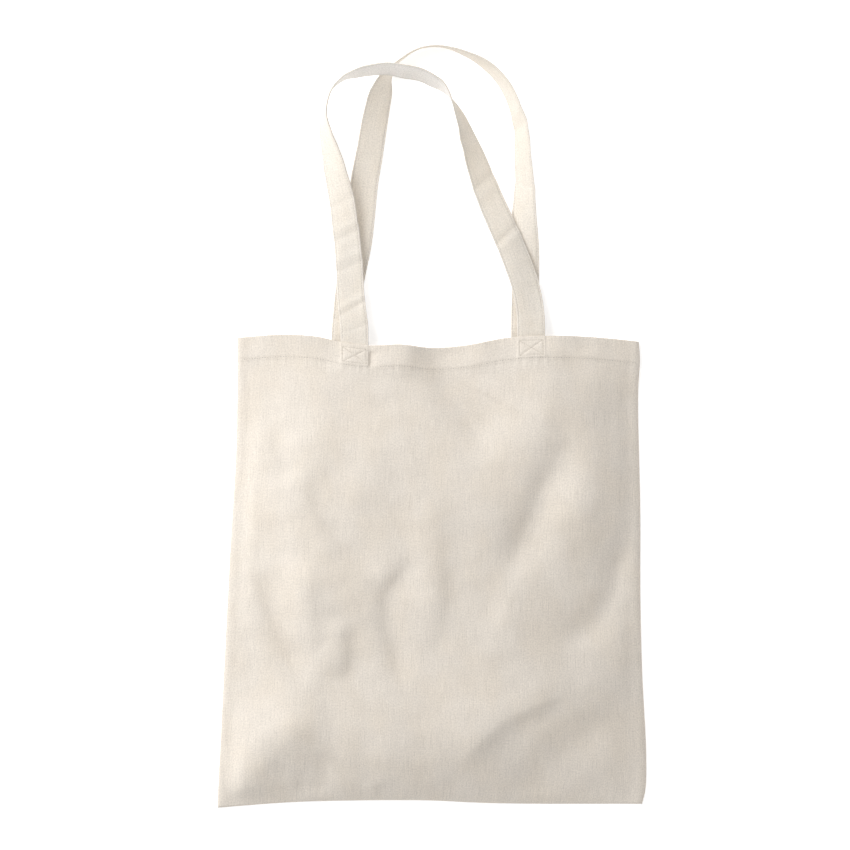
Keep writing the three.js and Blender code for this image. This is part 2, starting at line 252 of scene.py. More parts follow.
def frontHeight(across, up):
    # outer face of the front panel
    place = plan(across, up)
    x, y = place[..., 0], place[..., 1]
    inSide = np.minimum(across, 1 - across) * bagCut["width"]
    inBottom = up * bagCut["height"]
    inward = np.minimum(inSide, inBottom)
    side = 1 - np.abs(2 * across - 1) ** bagFill["fullness"]
    foot = 1 - (1 - np.minimum(up / bagFill["reach"], 1)) ** 2.4
    rise = bagFill["belly"] + (bagFill["mouth"] - bagFill["belly"]) * ease(up, 0.62, 1)
    curl = 1 - np.clip(inward / bagFill["seamRound"], 0, 1)
    seams = bagFill["seamEdge"] + bagFill["overSeam"] * np.sqrt(1 - curl**2)
    seams = seams + bagFill["overHem"] * ease(up, 0.85, hemLine)
    ridge = bagFill["seamRidge"] * (ease(inSide, 1, 4) - ease(inSide, 6.5, 10.5))
    loose = ease(inSide, 2, 24) * ease(inBottom, 1, 18)
    waves = 0.5 * softWaves(x, y, 11, 22, 110) * loose
    z = seams + ridge + rise * side * foot + foldHeight(x, y) * loose + waves
    return z + hemRelief(x, up)


crossBox = {"half": 10.6, "low": 3.4, "high": 17.0, "depth": 0.5}  # heights are from the hem's lower edge


def hemRelief(x, up):
    # hem and strap ends showing on the outside, with the pucker of their stitches
    rise = (up - hemLine) * bagCut["height"]
    step = bagFill["hemStep"] * ease(rise, -1.6, 0.8)
    groove = np.exp(-((rise - 1.0) / 0.9) ** 2)
    pucker = np.sin(x * 0.83 + 1.7 * np.sin(x * 0.11)) * np.exp(-((rise + 1.5) / 4.5) ** 2) * 0.16
    relief = step - bagFill["stitchGroove"] * groove + pucker
    for middle in strapMake["feetFront"]:
        over = ease(strapMake["width"] / 2 + 0.8 - np.abs(x - middle), 0, 1.4)
        foot = over * ease(rise, 0.6, 2.0)
        relief = relief + foot * (bagFill["footStep"] - crossGroove(x - middle, rise))
    return relief


def crossGroove(x, rise):
    # the cloth is drawn in along the box of stitches and its diagonals
    wide, low, high = crossBox["half"], crossBox["low"], crossBox["high"]
    middle, tall = (low + high) / 2, (high - low) / 2
    s, t = x / wide, (rise - middle) / tall
    slant = math.hypot(wide, tall)
    near = np.minimum(np.abs(s - t), np.abs(s + t)) * wide * tall / slant
    box = np.minimum(np.abs(np.abs(x) - wide), np.abs(np.abs(rise - middle) - tall))
    inside = ease(1.08 - np.maximum(np.abs(s), np.abs(t)), 0, 0.06)
    depth = np.exp(-((np.minimum(near, box) / 0.9) ** 2)) * inside
    return crossBox["depth"] * depth - 0.18 * inside


def surfaceOf(height, across, up):
    # points of a surface over the bag's plan, and the directions square to it
    across, up = np.broadcast_arrays(np.asarray(across, float), np.asarray(up, float))
    step = 0.0012

    def at(a, u):
        a, u = np.clip(a, 0, 1), np.clip(u, 0, 1)
        return np.concatenate([plan(a, u), height(a, u)[..., None]], -1)

    middle = at(across, up)
    if across.ndim == 2:
        alongX, alongY = np.gradient(middle, axis=1), np.gradient(middle, axis=0)
    else:
        alongX = at(across + step, up) - at(across - step, up)
        alongY = at(across, up + step) - at(across, up - step)
    normal = np.cross(alongX, alongY)
    normal /= np.linalg.norm(normal, axis=-1, keepdims=True)
    return middle, normal


def backHeight(across, up):
    # upper face of the back panel, which lies on the table
    place = plan(across, up)
    x, y = place[..., 0], place[..., 1]
    inSide = np.minimum(across, 1 - across) * bagCut["width"]
    inBottom = up * bagCut["height"]
    inTop = (1 - up) * bagCut["height"]
    loose = ease(inSide, 6, 40) * ease(inBottom, 6, 40) * ease(inTop, 26, 60)
    return bagCut["cloth"] + 0.02 + (0.55 + 0.45 * np.clip(softWaves(x, y, 5, 40, 150), -1.2, 2)) * loose


def columnSteps(length, edge, middle, fine=4.0, feet=()):
    # steps across a panel, closer together by its edges and over the strap ends
    start = np.arange(0, fine, edge)
    inner = np.linspace(fine, length - fine, int((length - 2 * fine) / middle))
    for share in feet:
        low, high = share * length - 15.5, share * length + 15.5
        inner = inner[(inner < low - 0.6) | (inner > high + 0.6)]
        inner = np.sort(np.concatenate([inner, np.linspace(low, high, 50)]))
    return np.concatenate([start, inner, length - start[::-1]]) / length


def addNode(tree, kind, settings=None, **inputs):
    # inputs are given by socket name, or as i0, i1 and so on by number; a socket or a plain value
    node = tree.nodes.new(kind)
    for key, value in (settings or {}).items():
        setattr(node, key, value)
    for key, value in inputs.items():
        socket = node.inputs[int(key[1:])] if key[0] == "i" and key[1:].isdigit() else node.inputs[key]
        if isinstance(value, bpy.types.NodeSocket):
            tree.links.new(value, socket)
        else:
            socket.default_value = value
    return node.outputs[0]


def calc(tree, kind, a, b=0.0, c=0.0):
    return addNode(tree, "ShaderNodeMath", {"operation": kind}, i0=a, i1=b, i2=c)


def noiseAt(tree, place, scaleX, scaleY, detail=2.0, rough=0.5):
    # smooth noise whose patches are scaleX by scaleY, in the unit of the place
    size = addNode(tree, "ShaderNodeCombineXYZ", X=1 / scaleX, Y=1 / scaleY, Z=0.0)
    spot = addNode(tree, "ShaderNodeVectorMath", {"operation": "MULTIPLY"}, i0=place, i1=size)
    return addNode(tree, "ShaderNodeTexNoise", None, Vector=spot, Scale=1.0, Detail=detail, Roughness=rough)


def above(tree, value, low, high):
    smooth = {"interpolation_type": "SMOOTHSTEP"}
    return addNode(tree, "ShaderNodeMapRange", smooth, i0=value, i1=low, i2=high)


def weaveOf(tree, u, v):
    # plain weave: each thread passes over one neighbour and under the next
    def threads(across, along, turn):
        count = calc(tree, "FLOOR", across)
        crown = calc(tree, "ABSOLUTE", calc(tree, "SINE", calc(tree, "MULTIPLY", across, math.pi)))
        phase = calc(tree, "MULTIPLY", calc(tree, "ADD", calc(tree, "ADD", along, count), turn), math.pi)
        rise = calc(tree, "MULTIPLY_ADD", calc(tree, "COSINE", phase), 0.5, 0.5)
        return calc(tree, "MULTIPLY", crown, rise)

    warp = threads(u, calc(tree, "ADD", v, 0.5), 0.0)
    weft = threads(v, calc(tree, "ADD", u, 0.5), 1.0)
    return calc(tree, "MAXIMUM", warp, weft)


def clothMaterial(name, look):
    material = bpy.data.materials.new(name)
    material.use_nodes = True
    tree = material.node_tree
    tree.nodes.clear()
    place = addNode(tree, "ShaderNodeUVMap", {"uv_map": "cloth"})
    wander = noiseAt(tree, place, 6.0, 6.0, 2.0)
    parts = tree.nodes.new("ShaderNodeSeparateXYZ")
    tree.links.new(place, parts.inputs[0])
    u = calc(tree, "MULTIPLY_ADD", parts.outputs[0], 1 / look["thread"], calc(tree, "MULTIPLY", wander, 1.4))
    v = calc(tree, "MULTIPLY_ADD", parts.outputs[1], 1 / look["thread"], calc(tree, "MULTIPLY", wander, 1.1))
    weave = weaveOf(tree, u, v)
    slubWarp = above(tree, noiseAt(tree, place, 0.75, 17.0, 3.0, 0.6), 0.5, 0.72)
    slubWeft = above(tree, noiseAt(tree, place, 14.0, 0.8, 3.0, 0.6), 0.52, 0.74)
    thinWarp = above(tree, noiseAt(tree, place, 0.6, 24.0, 2.0), 0.48, 0.3)
    mottle = noiseAt(tree, place, 13.0, 15.0, 3.0, 0.55)
    grain = noiseAt(tree, place, 1.3, 1.5, 3.0, 0.65)
    speck = addNode(tree, "ShaderNodeTexVoronoi", {"feature": "F1"}, Vector=place, Scale=1 / 11.0)
    nep = above(tree, speck, 0.055, 0.02)
    tone = calc(tree, "MULTIPLY_ADD", calc(tree, "SUBTRACT", mottle, 0.5), look["mottle"], 1.0)
    tone = calc(tree, "MULTIPLY_ADD", calc(tree, "SUBTRACT", grain, 0.5), look["grain"], tone)
    tone = calc(tree, "MULTIPLY_ADD", slubWarp, look["slub"], tone)
    tone = calc(tree, "MULTIPLY_ADD", slubWeft, look["slub"] * 0.6, tone)
    tone = calc(tree, "MULTIPLY_ADD", thinWarp, -look["slub"], tone)
    # the weave's thread crowns are painted lighter and the dips between threads darker: painted shade
    tone = calc(tree, "MULTIPLY_ADD", calc(tree, "SUBTRACT", weave, 0.62), look["weave"], tone)
    tone = calc(tree, "MULTIPLY_ADD", nep, -look["nep"], tone)
    colour = addNode(tree, "ShaderNodeVectorMath", {"operation": "SCALE"}, i0=look["colour"], Scale=tone)
    patches = above(tree, noiseAt(tree, place, 34.0, 46.0, 2.0), 0.35, 0.7)
    tinted = {"data_type": "RGBA", "blend_type": "MULTIPLY"}
    tint = addNode(tree, "ShaderNodeMix", tinted, i0=patches, i6=colour, i7=look["warm"]).node
    colour = tint.outputs[2]
    thick = calc(tree, "MULTIPLY_ADD", slubWarp, 0.35, weave)
    thick = calc(tree, "MULTIPLY_ADD", slubWeft, 0.25, thick)
    thick = calc(tree, "MULTIPLY_ADD", grain, 0.5, thick)
    bump = addNode(tree, "ShaderNodeBump", None, Strength=look["bump"], Distance=0.00012, Height=thick)
    rough = calc(tree, "MULTIPLY_ADD", grain, 0.16, 0.8)
    shader = tree.nodes.new("ShaderNodeBsdfPrincipled")
    tree.links.new(colour, shader.inputs["Base Color"])
    tree.links.new(rough, shader.inputs["Roughness"])
    tree.links.new(bump, shader.inputs["Normal"])
    shader.inputs["Specular IOR Level"].default_value = 0.25
    shader.inputs["Subsurface Weight"].default_value = look["glow"]
    shader.inputs["Subsurface Radius"].default_value = (1.0, 0.97, 0.93)
    shader.inputs["Subsurface Scale"].default_value = 0.006
    shader.inputs["Sheen Weight"].default_value = 0.18
    shader.inputs["Sheen Roughness"].default_value = 0.5
    output = tree.nodes.new("ShaderNodeOutputMaterial")
    tree.links.new(shader.outputs[0], output.inputs[0])
    return material


def threadMaterial(name, look):
    # two-ply sewing thread, twisted along its run
    material = bpy.data.materials.new(name)
    material.use_nodes = True
    tree = material.node_tree
    tree.nodes.clear()
    place = addNode(tree, "ShaderNodeUVMap", {"uv_map": "cloth"})
    parts = tree.nodes.new("ShaderNodeSeparateXYZ")
    tree.links.new(place, parts.inputs[0])
    turned = calc(tree, "MULTIPLY", parts.outputs[1], 2.2)
    twist = calc(tree, "MULTIPLY_ADD", parts.outputs[0], look["twist"], turned)
    ply = calc(tree, "ABSOLUTE", calc(tree, "SINE", calc(tree, "MULTIPLY", twist, math.pi)))
    spot = addNode(tree, "ShaderNodeTexCoord").node.outputs["Generated"]
    fuzz = noiseAt(tree, place, 0.2, 0.3, 3.0)
    drift = noiseAt(tree, spot, 0.02, 0.02, 2.0)
    # the dash ends are painted darker where they sink into the cloth: painted shade
    ends = above(tree, calc(tree, "ABSOLUTE", parts.outputs[0]), 0.24, 0.40)
    # the crowns of the twisted plies are painted lighter and the grooves between them darker: painted shade
    tone = calc(tree, "MULTIPLY_ADD", ply, 0.12, calc(tree, "MULTIPLY_ADD", fuzz, 0.14, 0.81))
    tone = calc(tree, "MULTIPLY_ADD", drift, 0.08, tone)
    tone = calc(tree, "MULTIPLY_ADD", ends, -look["holes"], tone)
    colour = addNode(tree, "ShaderNodeVectorMath", {"operation": "SCALE"}, i0=look["colour"], Scale=tone)
    height = calc(tree, "MULTIPLY_ADD", fuzz, 0.4, ply)
    bump = addNode(tree, "ShaderNodeBump", None, Strength=0.5, Distance=0.0001, Height=height)
    shader = tree.nodes.new("ShaderNodeBsdfPrincipled")
    tree.links.new(colour, shader.inputs["Base Color"])
    tree.links.new(calc(tree, "MULTIPLY_ADD", fuzz, 0.2, 0.62), shader.inputs["Roughness"])
    tree.links.new(bump, shader.inputs["Normal"])
    shader.inputs["Sheen Weight"].default_value = 0.1
    output = tree.nodes.new("ShaderNodeOutputMaterial")
    tree.links.new(shader.outputs[0], output.inputs[0])
    return material


canvasLook = {
    "colour": (0.800, 0.735, 0.655),
    "warm": (0.99, 0.978, 0.958, 1),
    "thread": 0.56,  # from one thread to the next
    "mottle": 0.06, "grain": 0.60, "slub": 0.10, "weave": 0.32, "nep": 0.10,
    "bump": 0.55,
    "glow": 0.0,  # light let through
}
strapLook = dict(canvasLook, colour=(0.785, 0.722, 0.642), slub=0.08, mottle=0.06, glow=0.4)
# the strap's reverse face is painted lighter and cooler than its outer face: painted light, standing in for
# the light on the strap's arc
strapReverseLitLook = dict(strapLook, colour=(0.845, 0.80, 0.75), warm=(0.99, 0.985, 0.975, 1))
# the last value sets how much the dash ends are darkened: painted shade
threadLook = {"colour": (0.80, 0.745, 0.67), "twist": 2.2, "holes": 0.62}
canvas = clothMaterial("canvas", canvasLook)
strapping = clothMaterial("strapping", strapLook)
strappingReverseLit = clothMaterial("strapping_reverse_painted_light", strapReverseLitLook)
crossLook = dict(threadLook, colour=(0.64, 0.585, 0.505), holes=0.4)
thread = threadMaterial("cotton_thread", threadLook)
crossThread = threadMaterial("cotton_thread_boxes", crossLook)
print("materials made:", len(bpy.data.materials))


def newPiece(name, points, faces, faceUv, materials, kind, slotName):
    mesh = bpy.data.meshes.new(name)
    mesh.from_pydata((points * mm).tolist(), [], faces.tolist())
    layer = mesh.uv_layers.new(name="cloth")
    layer.data.foreach_set("uv", faceUv.astype(np.float32).ravel())
    mesh.polygons.foreach_set("use_smooth", [True] * len(mesh.polygons))
    for material in materials:
        mesh.materials.append(material)
    if kind is not None:
        mesh.polygons.foreach_set("material_index", kind.astype(np.int32))
    mesh.update()
    piece = bpy.data.objects.new(name, mesh)
    bpy.context.scene.collection.objects.link(piece)
    return piece


def gridFaces(rows, columns, first=0):
    corner = first + np.arange(rows - 1)[:, None] * columns + np.arange(columns - 1)[None, :]
    return np.stack([corner, corner + 1, corner + columns + 1, corner + columns], -1).reshape(-1, 4)


def shellOf(face, normal, uv, thickness):
    # closed sheet of the given thickness behind a grid of points; returns points, faces and loop uvs
    rows, columns = face.shape[:2]
    count = rows * columns
    points = np.vstack([face.reshape(-1, 3), (face - normal * thickness).reshape(-1, 3)])
    front = gridFaces(rows, columns)
    behind = gridFaces(rows, columns, count)[:, ::-1]
    index = np.arange(count).reshape(rows, columns)
    edge = np.concatenate([index[0, :], index[1:, -1], index[-1, -2::-1], index[-2:0:-1, 0]])
    after = np.roll(edge, -1)
    rim = np.stack([after, edge, edge + count, after + count], -1)
    flat = np.vstack([uv.reshape(-1, 2), uv.reshape(-1, 2) + (0.3, 0.0)])
    faces = np.vstack([front, behind, rim])
    return points, faces, flat[faces]


def joined(parts):
    # several (points, faces, loop uvs) as one
    points, faces, uvs, start = [], [], [], 0
    for p, f, t in parts:
        points.append(p)
        faces.append(f + start)
        uvs.append(t)
        start += len(p)
    return np.vstack(points), np.vstack(faces), np.vstack(uvs)


def stitchRun(points, normals, pitch, length, width):
    # thread showing as short dashes that dive into the cloth at both ends; points are in order along the row
    gaps = np.linalg.norm(np.diff(points, axis=0), axis=1)
    walk = np.concatenate([[0], np.cumsum(gaps)])
    count = max(1, int(walk[-1] / pitch))
    middles = (np.arange(count) + 0.5) * walk[-1] / count

    def along(values, spot):
        return np.column_stack([np.interp(spot, walk, column) for column in values.T])

    ahead = along(points, middles + 0.2) - along(points, middles - 0.2)
    ahead /= np.linalg.norm(ahead, axis=1, keepdims=True) + 1e-9
    normal = along(normals, middles)
    normal -= ahead * (normal * ahead).sum(1, keepdims=True)
    normal /= np.linalg.norm(normal, axis=1, keepdims=True) + 1e-9
    beside = np.cross(normal, ahead)
    centre = along(points, middles)
    shares = np.array([-0.5, -0.45, -0.3, 0.0, 0.3, 0.45, 0.5])
    girth = np.array([0.05, 0.6, 0.95, 1.0, 0.95, 0.6, 0.05])
    dive = np.array([-0.3, -0.2, 0.0, 0.12, 0.0, -0.2, -0.3])
    turns = np.arange(6) / 6 * math.tau
    rings = []
    for share, size, drop in zip(shares, girth, dive):
        for turn in turns:
            up = normal * (math.sin(turn) * size * width / 2 + drop * width)
            rings.append(centre + ahead * share * length + up + beside * math.cos(turn) * size * width / 2)
    cloud = np.stack(rings, 1)  # stitch, ring point
    faces, uvs = [], []
    for r in range(len(shares) - 1):
        for k in range(6):
            after = (k + 1) % 6
            faces.append([r * 6 + k, r * 6 + after, (r + 1) * 6 + after, (r + 1) * 6 + k])
            low, high = shares[r] * length, shares[r + 1] * length
            uvs.append([[low, k / 6], [low, (k + 1) / 6], [high, (k + 1) / 6], [high, k / 6]])
    faces = np.array(faces)
    uvs = np.array(uvs, float)
    everyFace = (faces[None] + (np.arange(count) * len(shares) * 6)[:, None, None]).reshape(-1, 4)
    uvs[..., 0] /= length
    everyUv = np.tile(uvs, (count, 1, 1))
    return cloud.reshape(-1, 3), everyFace[:, ::-1], everyUv[:, ::-1]


def threadPiece(name, runs, material, *replacing):
    piece = newPiece(name, *joined(runs), [material], None, "cotton_thread")
    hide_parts(*replacing)
    return piece


def spread(piece, start, end):
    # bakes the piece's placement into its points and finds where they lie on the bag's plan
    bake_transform(piece)
    x = np.array([v.co.x for v in piece.data.vertices]) / mm
    y = np.array([v.co.y for v in piece.data.vertices]) / mm
    across, up = planAt(x, y)


mouthHinge = hingeOf["mouth_open"]
sideSpread = ((0, mouthHinge[1], 0), (0, mouthHinge[1] + 0.0415, 0))


def makePanel(name, height, replacing, facing):
    feet = strapMake["feetFront"] if facing > 0 else ()
    shares = [float(planAt(x, 70.0)[0]) for x in feet]
    across = columnSteps(bagCut["width"], 0.5, 2.3, feet=shares)
    lower = columnSteps(bagCut["height"], 0.5, 2.3)
    lower = lower[lower < hemLine - 0.012]
    hemRows = np.linspace(hemLine - 0.010, 1, 38)
    up = np.concatenate([lower, hemRows])
    face, normal = surfaceOf(height, across[None, :], up[:, None])
    if facing < 0:  # the back panel's outer side is its lower one
        face, normal = face - normal * bagCut["cloth"], -normal
    # rolled over at the mouth
    out = normal[-1]
    ahead = face[-1] - face[-2]
    ahead -= out * (out * ahead).sum(-1, keepdims=True)
    ahead /= np.linalg.norm(ahead, axis=-1, keepdims=True)
    turn = 0.88
    rolls = []
    rollNormals = []
    for angle in np.radians(np.arange(15, 181, 15)):
        way = out * math.cos(angle) + ahead * math.sin(angle)
        rolls.append(face[-1] - out * turn + way * turn)
        rollNormals.append(way)
    face = np.concatenate([face, rolls])
    normal = np.concatenate([normal, rollNormals])
    upMm = np.concatenate([up * bagCut["height"], bagCut["height"] + np.arange(1, len(rolls) + 1) * 0.25])
    uv = np.stack(np.broadcast_arrays(across[None, :] * bagCut["width"], upMm[:, None]), -1)
    if facing < 0:
        face, normal, uv = face[:, ::-1], normal[:, ::-1], uv[:, ::-1]
    points, faces, loops = shellOf(face, normal, uv, bagCut["cloth"])
    piece = newPiece(name, points, faces, loops, [canvas], None, "canvas")
    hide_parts(replacing)
    return piece


def makeHem(name, height, replacing, sink):
    # inner layer of the hem, from the mouth down to its stitched edge, sunk this far under the panel's face
    across = columnSteps(bagCut["width"], 1.0, 2.4)[1:-1]
    up = np.linspace(hemLine - 0.001, 1, 16)
    face, normal = surfaceOf(height, across[None, :], up[:, None])
    mirrored = bagCut["height"] * (2 - up)
    uv = np.stack(np.broadcast_arrays(across[None, :] * bagCut["width"], mirrored[:, None]), -1)
    points, faces, loops = shellOf(face - normal * sink, normal, uv, bagCut["cloth"])
    piece = newPiece(name, points, faces, loops, [canvas], None, "canvas")
    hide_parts(replacing)
    return piece


frontPanel = makePanel("frontPanel", frontHeight, "front_panel", 1)
frontHem = makeHem("frontHem", frontHeight, "front_hem", 1.06)
backPanel = makePanel("backPanel", backHeight, "back_panel", -1)
backHem = makeHem("backHem", backHeight, "back_hem", -1.06)
for piece in (backPanel, backHem):
    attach(piece, "bag_back")
for piece in (frontPanel, frontHem):
    spread(piece, *sideSpread)
print("panels made, vertices:", len(frontPanel.data.vertices) + len(backPanel.data.vertices))

seamMake = {"inset": 1.6, "width": 10, "stitch": 3.4}


def seamStrip(name, line, inward, replacing):
    # raw edges of both panels inside the seam, overlocked with a zigzag of thread
    count = len(line)
    wide = np.linspace(seamMake["inset"], seamMake["inset"] + seamMake["width"], 5)
    face = line[:, None, :] + inward[:, None, :] * wide[None, :, None]
    heights = bagCut["cloth"] + 0.95 + 0.12 * np.sin(np.arange(count) * 0.9)[:, None] * (wide[None, :] / 10)
    face = np.concatenate([face, heights[..., None]], -1)
    normal = np.zeros_like(face)
    normal[..., 2] = 1
    walk = np.arange(count) * 2.0
    uv = np.stack(np.broadcast_arrays(wide[None, :], walk[:, None]), -1)
    ahead = np.gradient(face[:, 0], axis=0)
    if np.cross(ahead[count // 2], face[count // 2, -1] - face[count // 2, 0])[2] > 0:
        face, uv, normal = face[:, ::-1], uv[:, ::-1], normal[:, ::-1]
    strip = shellOf(face, normal, uv, 0.6)
    zig = np.linspace(0, count - 1, 3 * count)
    across = np.where(np.arange(len(zig)) % 2 == 0, wide[-1] - 0.2, wide[-1] - seamMake["stitch"])
    base = np.column_stack([np.interp(zig, np.arange(count), column) for column in line.T])
    way = np.column_stack([np.interp(zig, np.arange(count), column) for column in inward.T])
    zigzag = np.column_stack([base + way * across[:, None], np.full(len(zig), bagCut["cloth"] + 1.15)])
    upward = np.tile([0.0, 0.0, 1.0], (len(zig), 1))
    stitches = stitchRun(zigzag, upward, 3.0, 2.9, 0.35)
    both = joined([strip, stitches])
    kind = np.concatenate([np.zeros(len(strip[1])), np.ones(len(stitches[1]))])
    piece = newPiece(name, *both, [canvas, thread], kind, "canvas")
    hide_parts(replacing)
    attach(piece, "bag_back")
    return piece


seamUp = np.linspace(0.03, hemLine - 0.01, 190)
leftLine = plan(np.zeros(190), seamUp)
rightLine = plan(np.ones(190), seamUp)
bottomLine = plan(np.linspace(0.03, 0.97, 180), np.zeros(180))
leftSeam = seamStrip("leftSeam", leftLine, np.tile([1.0, 0.0], (190, 1)), "side_seam_left")
rightSeam = seamStrip("rightSeam", rightLine, np.tile([-1.0, 0.0], (190, 1)), "side_seam_right")
bottomSeam = seamStrip("bottomSeam", bottomLine, np.tile([0.0, 1.0], (180, 1)), "bottom_seam")
print("seams made")

stitchMake = {
    "pitch": 2.4, "length": 2.45, "width": 0.55,  # along the hems
    "aboveHem": 1.0,  # from the hem's lower edge
    "boxPitch": 2.2, "boxLength": 2.0, "boxWidth": 0.42,  # round and across the strap ends
    "onFront": 0.02,  # height over the panel, and over the back panel's hem and strap ends
    "onBackHem": 1.08,
    "onBackEnds": 2.9,
}


def rowOn(height, places, lift):
    # points and normals on a panel, for places given in plan
    across, up = planAt(places[:, 0], places[:, 1])
    face, normal = surfaceOf(height, across, up)
    return face + normal * lift, normal


def hemStitches(name, height, lift, replacing):
    across = np.linspace(0.012, 0.988, 500)
    up = np.full(500, hemLine + stitchMake["aboveHem"] / bagCut["height"])
    face, normal = surfaceOf(height, across, up)
    make = stitchMake
    run = stitchRun(face + normal * lift, normal, make["pitch"], make["length"], make["width"])
    return threadPiece(name, [run], thread, replacing)


def crossStitches(name, height, middle, lift, replacing):
    # a box with its two diagonals, through the strap end and the hem
    across = planAt(middle + np.array([-1, 1]) * crossBox["half"], np.full(2, 70.0))[0]
    lower = hemLine + crossBox["low"] / bagCut["height"]
    upper = hemLine + crossBox["high"] / bagCut["height"]
    corners = [(across[0], lower), (across[1], lower), (across[1], upper), (across[0], upper)]
    corners = [plan(np.array(a), np.array(u)) for a, u in corners]
    lines = [(0, 1), (1, 2), (2, 3), (3, 0), (0, 2), (1, 3)]
    runs = []
    for start, end in lines:
        t = np.linspace(0, 1, 60)[:, None]
        way = corners[start] * (1 - t) + corners[end] * t
        row = rowOn(height, way, lift)
        runs.append(stitchRun(*row, stitchMake["boxPitch"], stitchMake["boxLength"], stitchMake["boxWidth"]))
    return threadPiece(name, runs, crossThread, replacing)


def sewPanel(side, height, hemLift, endLift, feet):
    # the row along a panel's hem, and the boxes over its two strap ends
    made = [hemStitches(side + "HemStitch", height, hemLift, side + "_hem_stitch")]
    for end, middle in zip(("left", "right"), feet):
        name = side + "Cross" + end.capitalize()
        made.append(crossStitches(name, height, middle, endLift, side + "_cross_stitch_" + end))
    return made


onFront = stitchMake["onFront"]
for piece in sewPanel("front", frontHeight, onFront, onFront, strapMake["feetFront"]):
    spread(piece, *sideSpread)
onHem, onEnds = stitchMake["onBackHem"], stitchMake["onBackEnds"]
for piece in sewPanel("back", backHeight, onHem, onEnds, strapMake["feetBack"]):
    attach(piece, "bag_back")
print("bag stitching made")

# Route of each strap: x, y, lean in degrees (its inner edge up, or its outer edge below zero), and the
# height of its lowest edge.
frontRoute = [
    (-69.3, 83.4, 0, 14.7), (-69.5, 91, 2, 13.4), (-70.9, 102, 6, 11), (-72.7, 119, 10, 7.2),
    (-75.5, 160, 16, 2.6), (-81.2, 204, 26, 2.2), (-85.6, 225, 35, 2.4), (-90.4, 246, 49, 4),
    (-94.6, 264, 64, 7), (-96.3, 281, 75, 11), (-89, 300, 84, 16), (-79.5, 308.8, 89, 18.6),
    (-70.5, 312.5, 97, 21), (-59, 315.6, 103, 23), (-45.5, 317, 106, 24.6),
    (-34.5, 316.5, 107.5, 25), (-28, 315.5, 108.5, 24.6), (-10.5, 312.5, 108.5, 21.6),
    (2, 306.5, 106, 17.6), (8.2, 302, 101, 15.2), (14.6, 295.5, 90, 12.6), (21.5, 284.5, 76, 9),
    (27.8, 271, 64, 6), (32, 258, 54, 4), (37, 245.5, 43, 3), (49.6, 211, 22, 3.2),
    (59.6, 188, 13, 5.2), (72, 160, 7, 6), (84, 126, 5, 7.2), (88, 104, 4, 10.4), (88.5, 91, 2, 13),
    (88.5, 83.4, 0, 14.1),
]
backRoute = [
    (-78, 83.4, 0, 2.6), (-77.7, 90, 0, 1.6), (-76.6, 102, 0, 0.6), (-73.5, 131, 0, 0.4),
    (-66.3, 168, 0, 0.4), (-60.5, 222, -3, 0.4), (-55.5, 249, -16, 0.4), (-50.9, 277, -25, 0.4),
    (-45.9, 300, -40, 0.4), (-41.9, 312.5, -66, 0.4), (-32.5, 325, -90, 0.4),
    (-22, 333.6, -94, 0.4), (-11, 339.2, -96, 0.4), (1.4, 341.2, -96, 0.4), (15, 339.8, -95, 0.4),
    (31.5, 334.4, -88, 0.4), (46.2, 326, -80, 0.4), (57.5, 316, -76, 0.4), (66.3, 304.4, -73, 0.4),
    (73.2, 290, -70, 0.4), (77.8, 276, -66, 0.4), (80.7, 258, -61, 0.4), (81.5, 241, -58, 0.4),
    (82.5, 227, -52, 0.4), (82.7, 201, -38, 0.4), (82.7, 186, -27, 0.4), (83.7, 160, -9, 0.4),
    (83.9, 125, 0, 0.4), (83.6, 102, 0, 0.6), (83.5, 90, 0, 1.6), (83.5, 83.4, 0, 2.6),
]

# Creases pressed across a strap: distance along it, slant over its width, depth and spread.
frontCreases = [
    (27, 8, -0.9, 1.6), (46, 10, -0.9, 2.0), (52, 9, 0.7, 3.0), (84, 8, -0.7, 3.2), (93, 8, 0.6, 4),
    (112, 9, -0.8, 3.5), (120, 8, 0.6, 4), (142, 8, -0.7, 4), (172, -6, 0.5, 6), (214, 4, 0.4, 7),
    (300, 6, 0.5, 8), (352, -8, 0.6, 6), (398, 9, -0.5, 5), (410, 8, 0.4, 6), (446, 9, -0.7, 4),
    (456, 8, 0.5, 5), (498, 9, -0.9, 3), (505, 8, 0.6, 4), (542, -6, 0.5, 5), (584, 0, -0.7, 4),
]
backCreases = [
    (36, 0, -0.8, 1.2), (60, 7, 0.4, 6), (128, -6, 0.4, 8), (188, 8, -0.5, 7), (262, 4, 0.4, 9),
    (342, -5, 0.5, 8), (414, 10, 0.7, 5), (426, 9, -0.8, 4), (462, -7, 0.5, 7), (478, -8, -0.7, 4),
    (548, 6, -0.4, 6),
]
strapStitch = {"pitch": 2.5, "length": 2.2, "width": 0.42, "fromMiddle": 10.8}


def strapFrame(route):
    # centre line of a strap with the ways to its inner edge and out of its face, ends included
    first, last = route[0], route[-1]
    low = strapMake["footY"] - strapMake["footDepth"]
    ends = [(first[0], low, 0, first[3]), (first[0], (low + first[1]) / 2, 0, first[3])]
    tails = [(last[0], (low + last[1]) / 2, 0, last[3]), (last[0], low, 0, last[3])]
    whole = ends + list(route) + tails
    line = smoothLine(whole, 470)
    lean = np.radians(line[:, 2])
    half = strapMake["width"] / 2
    z = line[:, 3] + half * np.abs(np.sin(lean)) + strapMake["thickness"] / 2 * np.abs(np.cos(lean))
    centre = np.column_stack([line[:, :2], z])
    run = np.gradient(centre, axis=0)
    run /= np.linalg.norm(run, axis=1, keepdims=True)
    outward = np.cross([0.0, 0.0, 1.0], run)
    outward /= np.linalg.norm(outward, axis=1, keepdims=True)
    upward = np.cross(run, outward)
    cos, sin = np.cos(lean)[:, None], np.sin(lean)[:, None]
    toInner = -outward * cos + upward * sin
    face = upward * cos + outward * sin
    walk = np.concatenate([[0], np.cumsum(np.linalg.norm(np.diff(centre, axis=0), axis=1))])
    return centre, toInner, face, walk


